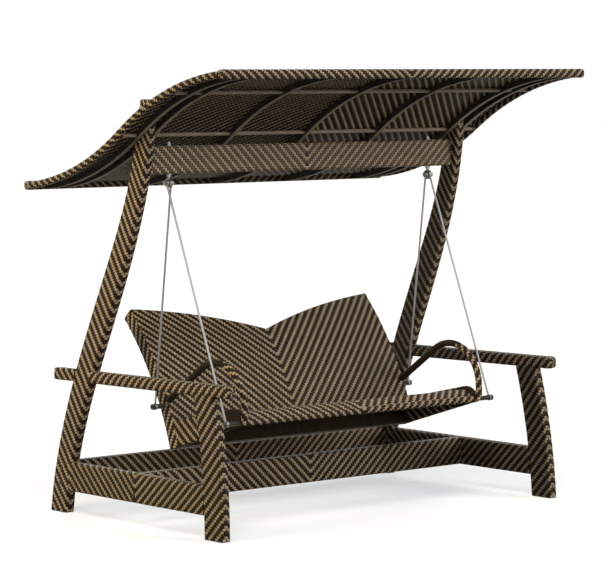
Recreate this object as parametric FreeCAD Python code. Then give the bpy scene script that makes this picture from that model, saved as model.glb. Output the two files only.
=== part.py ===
import FreeCAD, Part
import math
import os

# Garden swing. Two leaning side frames, a top beam and two cross rails, all box sections under a
# woven wicker cover, carry an S-curved woven canopy. A wicker bench with a winged back hangs below
# the beam on four steel rods and swings about two pins in eye bolts.
# Millimetres, +Z up, the front faces -Y, origin on the floor under the middle of the canopy.

# Side frames
bench_side_room = 293.0
stance_depth = 1222.0
frame_thick = 48.0
frame_wall = 4.0
frame_lean_deg = 1.845
overrun = 60.0

# Rear posts: the middle line is an S, given as shares of the height and of the way back to the foot
post_rise = 140.0
post_top_y = -14.0
post_foot_depth = 116.0
post_shin_depth = 118.0
post_waist_depth = 124.0
post_neck_depth = 97.0
post_top_depth = 66.0
post_height_shares = (0.0, 0.25, 0.525, 0.76, 1.0)
post_back_shares = (1.0, 0.822, 0.448, 0.141, 0.0)

# Front legs: bowed forwards a little, top leaning back
leg_depth = 121.0
leg_sweep = 92.0
leg_bow = 17.0

# Armrests and their tails behind the posts
armrest_under_z = 598.0
armrest_height = 54.0
armrest_rise = 14.0
armrest_width = 56.0
armrest_nose = 16.0
armrest_nose_round = 22.0
armrest_top_round = 11.0
tail_width = 48.0
tail_inset = 1.0

# Side rails and cross rails
rail_under_z = 101.0
rail_height = 128.0
cross_rail_depth = 48.0

# Top beam
beam_drop = 186.0
beam_height = 123.0
beam_depth = 56.0
beam_y = 30.0
end_block = 45.0

# Frame bolts, and the glides under the feet
bolt_radius = 5.0
bolt_bite = 35.0
bolt_head_radius = 9.0
bolt_head_height = 5.0
bolt_spread = 64.0
hole_clearance = 0.3
glide_thick = 4.0
glide_inset = 3.0

# Canopy: two equal arcs that meet at the middle, steep there and almost flat at the ends
canopy_overhang = 72.0
canopy_depth = 1404.0
canopy_mid_z = 1710.0
canopy_steep_deg = 35.0
canopy_flat_deg = 4.3
edge_width = 30.0
edge_thick = 30.0
end_bar_height = 40.0
end_bar_round = 11.0
skin_lift = 6.0
skin_thick = 8.0
slot_clearance = 5.0
rib_thick = 22.0
rib_depth = 26.0
rib_spacing = 435.0
rib_gap = 0.4
purlin_radius = 9.0
purlin_lift = -6.0
purlin_clearance = 0.2
lower_purlin_y = 14.0
upper_purlin_y = -346.0
canopy_bolt_y = -9.0
canopy_bolt_radius = 4.0
canopy_bolt_head_radius = 7.0
canopy_bolt_head_height = 5.0

# Eye bolts with their bushes, and the hanger pins that turn in them
eye_reach = 66.0
eye_gap = 5.0
eye_radius = 22.0
eye_thick = 12.0
eye_shank_radius = 6.0
eye_shank_top = 17.0
bush_radius = 12.0
bush_length = 14.0
bush_clearance = 0.04
pin_radius = 6.0
pin_running_clearance = 0.05
pin_head_radius = 11.0
pin_head_thick = 4.0
nut_flats = 18.0
nut_height = 10.0
washer_radius = 15.0
washer_thick = 3.0

# Hanger rods and the two bars that they carry
rod_radius = 4.5
rod_eye_radius = 14.0
rod_eye_cheek = 0.5
rod_eye_clearance = 0.2
side_clearance = 0.3
bar_radius = 8.0
rear_bar_share = 0.29
spacer_radius = 11.0
bar_nut_flats = 24.0
bar_nut_height = 12.0

# Bench back: a curved double-woven panel on tubes, with two wings that meet in a notch
bench_width = 1414.0
back_foot_y = 48.0
back_foot_z = 318.0
back_corner_y = 395.0
back_corner_z = 905.0
back_bow = 40.0
back_thick = 66.0
weave_thick = 8.0
back_tube_width = 30.0
notch_drop = 161.0
wing_bow = 22.0

# Bench seat: rises from the fold to a crown and rolls over to the front tube
fold_share = 0.170
seat_slope_deg = 12.5
seat_flat = 408.0
crown_radius = 65.0
crown_front_deg = 80.0
seat_sink = 16.0
side_thick = 30.0
front_tube_radius = 15.0
front_tube_proud = 3.0
stretcher_radius = 12.5
stretcher_shares = (0.3, 0.7)

# Bench arms: a bent tube from the seat side up and back to the back panel
arm_radius = 15.5
arm_lead = 21.0
arm_inset = 7.0
arm_bend_radius = 188.0
arm_slope_deg = 34.5
arm_fold_height = 116.0

# Worked-out places: the frame stands clear of the bench, the canopy reaches past the frame, and the
# post, beam and eye bolts hang from the canopy's height
stance_width = bench_width + 2 * bench_side_room
canopy_width = stance_width + 2 * canopy_overhang
post_height = canopy_mid_z + post_rise
beam_under_z = canopy_mid_z - beam_drop
pivot_z = beam_under_z - washer_thick - nut_height - eye_gap - eye_radius
rod_eye_thick = 2 * (rod_radius + rod_eye_cheek)
half_stance = stance_width / 2
half_depth = stance_depth / 2
half_canopy = canopy_width / 2
half_bench = bench_width / 2
eye_x = half_bench + eye_reach
lean = math.radians(frame_lean_deg)
lean_sin = math.sin(lean)
lean_cos = math.cos(lean)
X_AXIS = FreeCAD.Vector(1, 0, 0)
Y_AXIS = FreeCAD.Vector(0, 1, 0)
Z_AXIS = FreeCAD.Vector(0, 0, 1)
ORIGIN = FreeCAD.Vector(0, 0, 0)

nodes = {}


def at(x, point):
    """A point of a side view, (y, z), in the plane at x."""
    return FreeCAD.Vector(x, point[0], point[1])


def line(x, start, end):
    return Part.LineSegment(at(x, start), at(x, end)).toShape()


def arc(x, start, middle, end):
    return Part.Arc(at(x, start), at(x, middle), at(x, end)).toShape()


def curve(x, points):
    spline = Part.BSplineCurve()
    spline.interpolate([at(x, point) for point in points])
    return spline.toShape()


def slab(edges, width):
    """A side view's outline, pushed along +X by the width."""
    outline = Part.Wire(Part.__sortEdges__(edges))
    return Part.Face(outline).extrude(X_AXIS * width)


def polygon(x, points):
    return [line(x, a, b) for a, b in zip(points, points[1:] + points[:1])]


def rod(x0, x1, point, radius):
    """A round bar along X through a point of the side view."""
    return Part.makeCylinder(radius, x1 - x0, at(x0, point), X_AXIS)


def block(x0, x1, y0, y1, z0, z1):
    return Part.makeBox(x1 - x0, y1 - y0, z1 - z0, FreeCAD.Vector(x0, y0, z0))


def hex_nut(x0, point, flats, height, hole, axis):
    """A hexagon nut on an axis along X or Z, from its first face."""
    corner = flats / math.sqrt(3)
    centre = at(x0, point)
    across = Z_AXIS if axis == X_AXIS else X_AXIS
    turns = [math.radians(60 * i) for i in range(7)]
    ring = [centre + Y_AXIS * corner * math.cos(t) + across * corner * math.sin(t) for t in turns]
    solid = Part.Face(Part.makePolygon(ring)).extrude(axis * height)
    return solid.cut(Part.makeCylinder(hole, height, centre, axis))


def mirrored(shape):
    return shape.mirror(ORIGIN, X_AXIS)


def both(name, right):
    """The right-hand piece, and its mirror image on the left."""
    nodes["right_" + name] = right
    nodes["left_" + name] = mirrored(right)


def group(name, right):
    """Two like sets of small pieces, right and left, in one node."""
    nodes[name] = Part.makeCompound(right + [mirrored(piece) for piece in right])


def side_x(inset, z):
    """X of the leaning plane that lies this far inside the right side frame's outer face."""
    return half_stance - (inset + z * lean_sin) / lean_cos


def leaned(shape):
    """A piece of the right side frame, drawn upright, set to its lean."""
    turned = shape.copy()
    turned.rotate(FreeCAD.Vector(half_stance, 0, 0), Y_AXIS, -frame_lean_deg)
    return turned


def on_glides(shape):
    floor = block(-stance_width, stance_width, -stance_depth, stance_depth, -stance_width, glide_thick)
    return shape.cut(floor)


# Rear posts, upright for now
post_foot_y = half_depth - post_foot_depth / 2
post_depths = (post_foot_depth, post_shin_depth, post_waist_depth, post_neck_depth, post_top_depth)


def post_outline(x, inset, top):
    front = []
    rear = []
    for height, back, depth in zip(post_height_shares, post_back_shares, post_depths):
        middle = post_top_y + (post_foot_y - post_top_y) * back
        z = min(post_height * height, top)
        front.append((middle - depth / 2 + inset, z))
        rear.append((middle + depth / 2 - inset, z))
    sunk_front = (front[0][0], -overrun)
    sunk_rear = (rear[0][0], -overrun)
    return [curve(x, front), line(x, front[-1], rear[-1]), curve(x, rear),
            line(x, rear[0], sunk_rear), line(x, sunk_rear, sunk_front), line(x, sunk_front, front[0])]


inner_x = half_stance - frame_thick
post_full = slab(post_outline(inner_x, 0, post_height), frame_thick)
post_core = slab(post_outline(inner_x + frame_wall, frame_wall, post_height - frame_wall),
                 frame_thick - 2 * frame_wall)
post_wide = slab(post_outline(inner_x - overrun, 0, post_height), frame_thick + 2 * overrun)


def post_middle_y(z):
    """Middle of the post at a height, measured on its solid."""
    cut = post_full.slice(Z_AXIS, z)
    box = cut[0].BoundBox
    return (box.YMin + box.YMax) / 2


# Front legs
def leg_outline(x, inset, top):
    foot = -half_depth + inset
    back = foot + leg_depth - 2 * inset
    half = top / 2
    bowed = leg_sweep / 2 - leg_bow
    sunk_front = (foot, -overrun)
    sunk_rear = (back, -overrun)
    return [arc(x, (foot, 0), (foot + bowed, half), (foot + leg_sweep, top)),
            line(x, (foot + leg_sweep, top), (back + leg_sweep, top)),
            arc(x, (back + leg_sweep, top), (back + bowed, half), (back, 0)),
            line(x, (back, 0), sunk_rear), line(x, sunk_rear, sunk_front), line(x, sunk_front, (foot, 0))]


leg_top = armrest_under_z + armrest_rise
leg_full = slab(leg_outline(inner_x, 0, leg_top), frame_thick)
leg_core = slab(leg_outline(inner_x + frame_wall, frame_wall, leg_top), frame_thick - 2 * frame_wall)


# Armrests: a bar from the nose to the post, and a tail behind the post
nose_y = -half_depth - armrest_nose
tail_y = half_depth - tail_inset


def armrest_z(y):
    """Underside of the armrest, which rises towards the nose."""
    return armrest_under_z + armrest_rise * (0 - y) / (tail_y - nose_y)


def armrest_bar(x, width, y0, y1):
    low0 = armrest_z(y0)
    low1 = armrest_z(y1)
    corners = [(y0, low0), (y1, low1), (y1, low1 + armrest_height), (y0, low0 + armrest_height)]
    return slab(polygon(x, corners), width)


crossing_y = post_middle_y(armrest_under_z + armrest_height / 2)
armrest_x = half_stance - frame_thick / 2 - armrest_width / 2
armrest = armrest_bar(armrest_x, armrest_width, nose_y, crossing_y)
nose_edges = [e for e in armrest.Edges if e.BoundBox.YMax < nose_y + armrest_nose_round and
              e.BoundBox.ZLength > armrest_height / 2]
armrest = armrest.makeFillet(armrest_nose_round, nose_edges)
top_edges = [e for e in armrest.Edges if e.BoundBox.YLength > stance_depth / 2 and
             e.BoundBox.ZMin > armrest_under_z + armrest_height / 2]
armrest = armrest.makeFillet(armrest_top_round, top_edges)
armrest = armrest.cut(post_wide)
tail_x = half_stance - frame_thick / 2 - tail_width / 2
tail = armrest_bar(tail_x, tail_width, crossing_y, tail_y).cut(post_wide)
armrest_blank = armrest_bar(armrest_x, armrest_width, nose_y, crossing_y)

# Side rails, between leg and post
rail_top_z = rail_under_z + rail_height
rail_front_y = -half_depth + leg_depth / 2
rail_rear_y = post_foot_y
rail = block(inner_x, half_stance, rail_front_y, rail_rear_y, rail_under_z, rail_top_z)
rail_core = block(inner_x + frame_wall, half_stance - frame_wall, rail_front_y - overrun,
                  rail_rear_y + overrun, rail_under_z + frame_wall, rail_top_z - frame_wall)
rail = rail.cut(post_full).cut(leg_full).cut(rail_core)

# Frame bolts run square through the side frame into the ends of the beam and the cross rails
rail_mid_z = rail_under_z + rail_height / 2
beam_mid_z = beam_under_z + beam_height / 2
rear_rail_y = post_middle_y(rail_mid_z)
bolt_length = frame_thick + bolt_bite


def bolt_pair(y, mid_z):
    return [(y, mid_z - bolt_spread / 2), (y, mid_z + bolt_spread / 2)]


def frame_bolt(place):
    shank = rod(half_stance - bolt_length, half_stance, place, bolt_radius)
    head = rod(half_stance, half_stance + bolt_head_height, place, bolt_head_radius)
    return leaned(shank.fuse(head))


def bolt_hole(place):
    hole_radius = bolt_radius + hole_clearance
    return leaned(rod(half_stance - bolt_length - hole_clearance, half_stance + overrun, place, hole_radius))


bolt_places = bolt_pair(beam_y, beam_mid_z) + bolt_pair(0, rail_mid_z) + bolt_pair(rear_rail_y, rail_mid_z)
holes = [bolt_hole(place) for place in bolt_places]
all_holes = Part.makeCompound(holes + [mirrored(hole) for hole in holes])
group("frame_bolts", [frame_bolt(place) for place in bolt_places])

# The post's top is bolted between two canopy ribs, level with this point of the canopy
canopy_run = canopy_depth / 2
steep_sin = math.sin(math.radians(canopy_steep_deg))
steep_cos = math.cos(math.radians(canopy_steep_deg))
canopy_radius = canopy_run / (steep_sin - math.sin(math.radians(canopy_flat_deg)))


def canopy_point(y, lift):
    """The point lifted square off the canopy's middle surface, from where that surface is at y."""
    slope = math.asin(steep_sin - abs(y) / canopy_radius)
    side = 1 if y <= 0 else -1
    reach = canopy_radius + side * lift
    return (side * (reach * math.sin(slope) - canopy_radius * steep_sin),
            canopy_mid_z + side * (reach * math.cos(slope) - canopy_radius * steep_cos))


def canopy_band(x0, x1, low, high, reach):
    """A band that follows the canopy's S from front to rear, between two lifts off its surface."""
    front = -reach
    rear = reach
    edges = []
    for lift in (low, high):
        edges.append(arc(x0, canopy_point(front, lift), canopy_point(front / 2, lift), canopy_point(0, lift)))
        # the rear arc starts where the front one ends, on the same normal
        edges.append(arc(x0, canopy_point(0, lift), canopy_point(rear / 2, lift), canopy_point(rear, lift)))
    edges.append(line(x0, canopy_point(front, low), canopy_point(front, high)))
    edges.append(line(x0, canopy_point(rear, low), canopy_point(rear, high)))
    return slab(edges, x1 - x0)


band_reach = canopy_run - edge_width
canopy_bolt_place = canopy_point(canopy_bolt_y, skin_lift - rib_depth / 2)
canopy_hole = rod(0, half_canopy, canopy_bolt_place, canopy_bolt_radius + hole_clearance)

both("rear_post", on_glides(leaned(post_full.cut(post_core))).cut(all_holes).cut(canopy_hole))
both("front_leg", on_glides(leaned(leg_full.cut(armrest_blank).cut(leg_core))))
both("side_rail", leaned(rail).cut(all_holes))
both("armrest", leaned(armrest))
group("armrest_tails", [leaned(tail)])

glides = []
for foot_y, depth in ((post_foot_y, post_foot_depth), (-half_depth + leg_depth / 2, leg_depth)):
    glide_x = side_x(frame_thick - glide_inset, 0)
    glides.append(block(glide_x, side_x(glide_inset, glide_thick), foot_y - depth / 2 + glide_inset,
                        foot_y + depth / 2 - glide_inset, 0, glide_thick))
group("foot_glides", glides)


# Top beam and cross rails, cut to the leaning inner faces of the side frames
def between_sides(bar):
    low = -overrun
    high = post_height
    corners = [(-side_x(frame_thick, low), low), (side_x(frame_thick, low), low),
               (side_x(frame_thick, high), high), (-side_x(frame_thick, high), high)]
    ring = [FreeCAD.Vector(x, -stance_depth, z) for x, z in corners + corners[:1]]
    room = Part.Face(Part.makePolygon(ring)).extrude(Y_AXIS * 2 * stance_depth)
    return bar.common(room)


def cross_member(mid_y, depth, under_z, height):
    """A box section between the side frames, with solid ends for the bolts."""
    bar = block(-half_stance, half_stance, mid_y - depth / 2, mid_y + depth / 2, under_z, under_z + height)
    core_x = side_x(frame_thick + end_block, under_z + height)
    core = block(-core_x, core_x, mid_y - depth / 2 + frame_wall, mid_y + depth / 2 - frame_wall,
                 under_z + frame_wall, under_z + height - frame_wall)
    return between_sides(bar).cut(core).cut(all_holes)


beam = cross_member(beam_y, beam_depth, beam_under_z, beam_height)
beam_top_z = beam_under_z + beam_height
eye_hole_radius = eye_shank_radius + hole_clearance
for x in (-eye_x, eye_x):
    foot = FreeCAD.Vector(x, beam_y, beam_under_z - overrun)
    beam = beam.cut(Part.makeCylinder(eye_hole_radius, beam_height + 2 * overrun, foot, Z_AXIS))
nodes["top_beam"] = beam
nodes["mid_cross_rail"] = cross_member(0, cross_rail_depth, rail_under_z, rail_height)
nodes["rear_cross_rail"] = cross_member(rear_rail_y, cross_rail_depth, rail_under_z, rail_height)


# Canopy
edge_x = half_canopy - edge_width
skin_top = skin_lift + skin_thick
rib_foot = skin_lift - rib_depth

both("canopy_side_edge", canopy_band(edge_x, half_canopy, -edge_thick / 2, edge_thick / 2, band_reach))
for name, end in (("canopy_front_edge", -band_reach), ("canopy_rear_edge", band_reach)):
    low = canopy_point(end, -end_bar_height / 2)
    high = canopy_point(end, end_bar_height / 2)
    along = ((high[1] - low[1]) / end_bar_height, (low[0] - high[0]) / end_bar_height)
    step = edge_width if end > 0 else -edge_width
    outer = [(p[0] + step * along[0], p[1] + step * along[1]) for p in (high, low)]
    bar = slab(polygon(-half_canopy, [low, high] + outer), canopy_width)
    outer_edges = [e for e in bar.Edges if e.BoundBox.XLength > half_canopy and
                   abs(e.BoundBox.YMin) > abs(end) + edge_width / 2]
    nodes[name] = bar.makeFillet(end_bar_round, outer_edges)

# the posts' tops stand out above the skin, through two slots
post_slot = leaned(slab(post_outline(inner_x - slot_clearance, -slot_clearance, post_height),
                        frame_thick + 2 * slot_clearance))
skin = canopy_band(-edge_x, edge_x, skin_lift, skin_top, band_reach)
nodes["canopy_skin"] = skin.cut(post_slot).cut(mirrored(post_slot))

lower_place = canopy_point(lower_purlin_y, purlin_lift)
upper_place = canopy_point(upper_purlin_y, purlin_lift)
purlin_holes = [rod(-half_canopy, half_canopy, place, purlin_radius + purlin_clearance)
                for place in (lower_place, upper_place)]
rib_zone = (canopy_point(0, rib_foot)[1] - overrun, canopy_point(0, skin_top)[1] + overrun)
inner_rib_x = side_x(frame_thick, rib_zone[1]) - rib_gap - rib_thick
outer_rib_x = side_x(0, rib_zone[0]) + rib_gap


def rib(x0, holes):
    return canopy_band(x0, x0 + rib_thick, rib_foot, skin_lift, band_reach).cut(Part.makeCompound(holes))


nodes["centre_rib"] = rib(-rib_thick / 2, purlin_holes)
both("middle_rib", rib(rib_spacing - rib_thick / 2, purlin_holes))
group("inner_post_ribs", [rib(inner_rib_x, [canopy_hole, purlin_holes[1]])])
group("outer_post_ribs", [rib(outer_rib_x, [canopy_hole, purlin_holes[1]])])
nodes["lower_purlin"] = rod(-inner_rib_x, inner_rib_x, lower_place, purlin_radius)
nodes["upper_purlin"] = rod(-edge_x, edge_x, upper_place, purlin_radius)
group("purlin_stubs", [rod(outer_rib_x + rib_thick, edge_x, lower_place, purlin_radius)])

bolt_end = outer_rib_x + rib_thick
nut_start = inner_rib_x - canopy_bolt_head_height
canopy_bolt = rod(nut_start, bolt_end, canopy_bolt_place, canopy_bolt_radius).fuse(
    rod(bolt_end, bolt_end + canopy_bolt_head_height, canopy_bolt_place, canopy_bolt_head_radius))
canopy_nut = hex_nut(nut_start, canopy_bolt_place, 2 * canopy_bolt_head_radius, canopy_bolt_head_height,
                     canopy_bolt_radius + purlin_clearance, X_AXIS)
group("canopy_bolts", [canopy_bolt])
group("canopy_nuts", [canopy_nut])

# Eye bolts through the beam, each with a nut and washer above and below and a bush in its eye
pivot = (beam_y, pivot_z)
eye = rod(eye_x - eye_thick / 2, eye_x + eye_thick / 2, pivot, eye_radius)
shank_foot_z = pivot_z + (eye_radius + bush_radius) / 2
shank_top_z = beam_top_z + eye_shank_top
shank = Part.makeCylinder(eye_shank_radius, shank_top_z - shank_foot_z,
                          FreeCAD.Vector(eye_x, beam_y, shank_foot_z), Z_AXIS)
eye_bore = rod(eye_x - eye_thick, eye_x + eye_thick, pivot, bush_radius + bush_clearance)
both("eye_bolt", eye.fuse(shank).cut(eye_bore))
bush_x0 = eye_x - bush_length / 2
bush_x1 = eye_x + bush_length / 2
bush_bore = rod(bush_x0, bush_x1, pivot, pin_radius + pin_running_clearance)
group("eye_bushes", [rod(bush_x0, bush_x1, pivot, bush_radius).cut(bush_bore)])

washers = []
nuts = []
for washer_z, nut_z in ((beam_top_z, beam_top_z + washer_thick),
                        (beam_under_z - washer_thick, beam_under_z - washer_thick - nut_height)):
    disc = Part.makeCylinder(washer_radius, washer_thick, FreeCAD.Vector(eye_x, beam_y, washer_z), Z_AXIS)
    washers.append(disc.cut(Part.makeCylinder(eye_hole_radius, washer_thick,
                                              FreeCAD.Vector(eye_x, beam_y, washer_z), Z_AXIS)))
    nuts.append(hex_nut(eye_x, (beam_y, nut_z), nut_flats, nut_height, eye_hole_radius, Z_AXIS))
group("eye_bolt_washers", washers)
group("eye_bolt_nuts", nuts)


# Bench back: a curved panel, drawn as a fan about the middle of its bend
back_chord = math.hypot(back_corner_y - back_foot_y, back_corner_z - back_foot_z)
back_radius = back_chord ** 2 / (8 * back_bow) + back_bow / 2
back_half_turn = math.asin(back_chord / (2 * back_radius))
back_tilt = math.atan2(back_corner_y - back_foot_y, back_corner_z - back_foot_z)
back_centre = (back_foot_y + back_radius * math.cos(back_tilt - back_half_turn),
               back_foot_z - back_radius * math.sin(back_tilt - back_half_turn))


def back_point(share, depth):
    """A point of the back, as a share of its height and a depth behind its front face."""
    tilt = back_tilt + back_half_turn * (2 * share - 1)
    reach = back_radius - depth
    return (back_centre[0] - reach * math.cos(tilt), back_centre[1] + reach * math.sin(tilt))


def back_band(x0, x1, near, far, low=0.0, high=1.0):
    edges = []
    middle = (low + high) / 2
    for depth in (near, far):
        edges.append(arc(x0, back_point(low, depth), back_point(middle, depth), back_point(high, depth)))
    edges.append(line(x0, back_point(low, near), back_point(low, far)))
    edges.append(line(x0, back_point(high, near), back_point(high, far)))
    return slab(edges, x1 - x0)


corner_tilt = back_tilt + back_half_turn


def under_wings(drop):
    """The room under the wings' top line, square to the back at its corners, lowered by the drop."""
    up = FreeCAD.Vector(0, math.sin(corner_tilt), math.cos(corner_tilt))
    out = FreeCAD.Vector(0, math.cos(corner_tilt), -math.sin(corner_tilt))
    base = at(0, back_point(1.0, 0)) - out * back_chord

    def spot(x, rise):
        return base + X_AXIS * x + up * rise

    half = half_bench + overrun
    mid_rise = -notch_drop / 2 + wing_bow - drop
    wings = [Part.Arc(spot(side * half_bench, -drop), spot(side * half_bench / 2, mid_rise),
                      spot(0, -notch_drop - drop)).toShape() for side in (-1, 1)]
    ring = [spot(-half_bench, -drop), spot(-half, -drop), spot(-half, -2 * back_chord),
            spot(half, -2 * back_chord), spot(half, -drop), spot(half_bench, -drop)]
    rest = [Part.LineSegment(a, b).toShape() for a, b in zip(ring, ring[1:])]
    return Part.Face(Part.Wire(Part.__sortEdges__(wings + rest))).extrude(out * 2 * back_chord)


wing_room = under_wings(0)
tube_room = under_wings(back_tube_width)
tube_near = weave_thick
tube_far = back_thick - weave_thick
tube_share = back_tube_width / back_chord
rear_bar_place = back_point(rear_bar_share, back_thick / 2)
rear_bar_hole = rod(-half_canopy, half_canopy, rear_bar_place, bar_radius + rod_eye_clearance)
tube_x = half_bench - back_tube_width

nodes["back_front_weave"] = back_band(-half_bench, half_bench, 0, weave_thick).common(wing_room)
nodes["back_rear_weave"] = back_band(-half_bench, half_bench, tube_far, back_thick).common(wing_room)
wing = back_band(0, half_bench, tube_near, tube_far).common(wing_room).cut(tube_room)
both("wing_tube", wing)
back_side = back_band(tube_x, half_bench, tube_near, tube_far)
both("back_side_tube", back_side.common(tube_room).cut(rear_bar_hole))
centre_tube = back_band(-back_tube_width / 2, back_tube_width / 2, tube_near, tube_far, tube_share)
nodes["back_centre_tube"] = centre_tube.common(tube_room).cut(rear_bar_hole)
nodes["back_foot_tube"] = back_band(-tube_x, tube_x, tube_near, tube_far, 0.0, tube_share)

# Bench seat
fold = back_point(fold_share, 0)
slope = math.radians(seat_slope_deg)
slope_sin = math.sin(slope)
slope_cos = math.cos(slope)
crown_start = (fold[0] - seat_flat * slope_cos, fold[1] + seat_flat * slope_sin)
crown_centre = (crown_start[0] - crown_radius * slope_sin, crown_start[1] - crown_radius * slope_cos)


def crown_point(turn, depth):
    reach = crown_radius - depth
    return (crown_centre[0] + reach * math.sin(turn), crown_centre[1] + reach * math.cos(turn))


crown_end = -math.radians(crown_front_deg)
front_bar_place = crown_point(crown_end, front_tube_radius - front_tube_proud)
back_full = back_band(-half_bench, half_bench, 0, back_thick)
front_tube = rod(-half_bench, half_bench, front_bar_place, front_tube_radius)
front_bar_hole = rod(-half_bench, half_bench, front_bar_place, bar_radius + rod_eye_clearance)


def seat_line(x, depth):
    """The sides' top line, or a line at a depth under it, from inside the back to the front tube."""
    start = crown_point(slope, depth)
    run = seat_flat + back_thick / 2
    sunk = (start[0] + run * slope_cos, start[1] - run * slope_sin)
    return sunk, crown_point(crown_end, depth), [
        line(x, sunk, start),
        arc(x, start, crown_point((slope + crown_end) / 2, depth), crown_point(crown_end, depth))]


seat_x = half_bench - side_thick
seat_under = seat_sink + weave_thick
top_rear, top_front, top_edges = seat_line(-seat_x, seat_sink)
under_rear, under_front, under_edges = seat_line(-seat_x, seat_under)
seat_edges = top_edges + under_edges + [line(-seat_x, top_rear, under_rear),
                                        line(-seat_x, top_front, under_front)]
nodes["seat_weave"] = slab(seat_edges, 2 * seat_x).cut(back_full).cut(front_tube)
nodes["seat_front_tube"] = front_tube.cut(front_bar_hole)

side_rear, side_front, side_edges = seat_line(seat_x, 0)
side_toe = (front_bar_place[0], front_bar_place[1] - front_tube_radius)
side_heel = back_point(0.0, back_thick / 2)
side_edges += polygon(seat_x, [side_front, side_toe, side_heel, side_rear])[:-1]
seat_side = slab(side_edges, side_thick).cut(back_full).cut(front_tube)
both("seat_side", seat_side)
stretcher_start = crown_point(slope, seat_under + stretcher_radius)
stretchers = []
for share in stretcher_shares:
    run = seat_flat * share
    place = (stretcher_start[0] + run * slope_cos, stretcher_start[1] - run * slope_sin)
    stretchers.append(rod(-seat_x, seat_x, place, stretcher_radius))
nodes["seat_stretchers"] = Part.makeCompound(stretchers)

# Bench arms: up from the seat side, over a bend and down to the face of the back
arm_slope = math.radians(arm_slope_deg)
arm_x = half_bench - arm_inset
arm_front_y = front_bar_place[0] - arm_lead
bend_turn = math.pi / 2 + arm_slope
corner_z = fold[1] + arm_fold_height + (fold[0] - arm_front_y) * math.tan(arm_slope)
tangent = arm_bend_radius * math.tan(bend_turn / 2)
bend_start = (arm_front_y, corner_z - tangent)
bend_end = (arm_front_y + tangent * math.cos(arm_slope), corner_z - tangent * math.sin(arm_slope))
bend_centre = (arm_front_y + arm_bend_radius, bend_start[1])
half_turn = math.pi - bend_turn / 2
bend_mid = (bend_centre[0] + arm_bend_radius * math.cos(half_turn),
            bend_centre[1] + arm_bend_radius * math.sin(half_turn))
arm_reach = back_thick + fold[0] - bend_end[0]
arm_tail = (bend_end[0] + arm_reach, bend_end[1] - arm_reach * math.tan(arm_slope))
arm_foot = (arm_front_y, front_bar_place[1])
path = Part.Wire([line(arm_x, arm_foot, bend_start), arc(arm_x, bend_start, bend_mid, bend_end),
                  line(arm_x, bend_end, arm_tail)])
section = Part.Wire(Part.Circle(at(arm_x, arm_foot), Z_AXIS, arm_radius).toShape())
arm = path.makePipeShell([section], True, False)
bar_room = rod(-half_canopy, half_canopy, front_bar_place, front_tube_radius)
back_room = back_band(-half_canopy, half_canopy, 0, back_thick)
both("seat_arm", arm.cut(seat_side).cut(back_room).cut(bar_room))

# Hanger rods: the rear one inside the eye bolt, the front one outside it, on one pin
rear_rod_x = bush_x0 - side_clearance - rod_eye_thick
front_rod_x = bush_x1 + side_clearance
pin_x0 = rear_rod_x - pin_head_thick
pin_x1 = front_rod_x + rod_eye_thick


def hanger_rod(x0, low):
    run = at(x0 + rod_eye_thick / 2, pivot) - at(x0 + rod_eye_thick / 2, low)
    solid = Part.makeCylinder(rod_radius, run.Length, at(x0 + rod_eye_thick / 2, low), run)
    for place in (pivot, low):
        solid = solid.fuse(rod(x0, x0 + rod_eye_thick, place, rod_eye_radius))
    for place, radius in ((pivot, pin_radius), (low, bar_radius)):
        solid = solid.cut(rod(x0 - overrun, x0 + overrun, place, radius + rod_eye_clearance))
    return solid


both("front_hanger_rod", hanger_rod(front_rod_x, front_bar_place))
both("rear_hanger_rod", hanger_rod(rear_rod_x, rear_bar_place))
pin = rod(pin_x0, pin_x1 + nut_height, pivot, pin_radius)
both("hanger_pin", pin.fuse(rod(pin_x0, rear_rod_x, pivot, pin_head_radius)))
group("pin_nuts", [hex_nut(pin_x1, pivot, nut_flats, nut_height, pin_radius + rod_eye_clearance, X_AXIS)])

# The two bars under the bench, with a spacer tube at each end and a nut outside each rod
spacers = []
bar_nuts = []
for name, place, rod_x in (("front", front_bar_place, front_rod_x), ("rear", rear_bar_place, rear_rod_x)):
    bar_end = rod_x + rod_eye_thick + bar_nut_height
    nodes[name + "_hanger_bar"] = rod(-bar_end, bar_end, place, bar_radius)
    spacer = rod(half_bench, rod_x, place, spacer_radius)
    spacers.append(spacer.cut(rod(half_bench, rod_x, place, bar_radius + rod_eye_clearance)))
    bar_nuts.append(hex_nut(rod_x + rod_eye_thick, place, bar_nut_flats, bar_nut_height,
                            bar_radius + rod_eye_clearance, X_AXIS))
group("bar_spacers", spacers)
group("bar_nuts", bar_nuts)

os.makedirs("parts", exist_ok=True)
for name, shape in nodes.items():
    shape.exportStep("parts/" + name + ".step")
    print(name, len(shape.Solids), "solids", round(shape.Volume), "mm3", "valid", shape.isValid())
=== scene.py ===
import math

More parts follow.
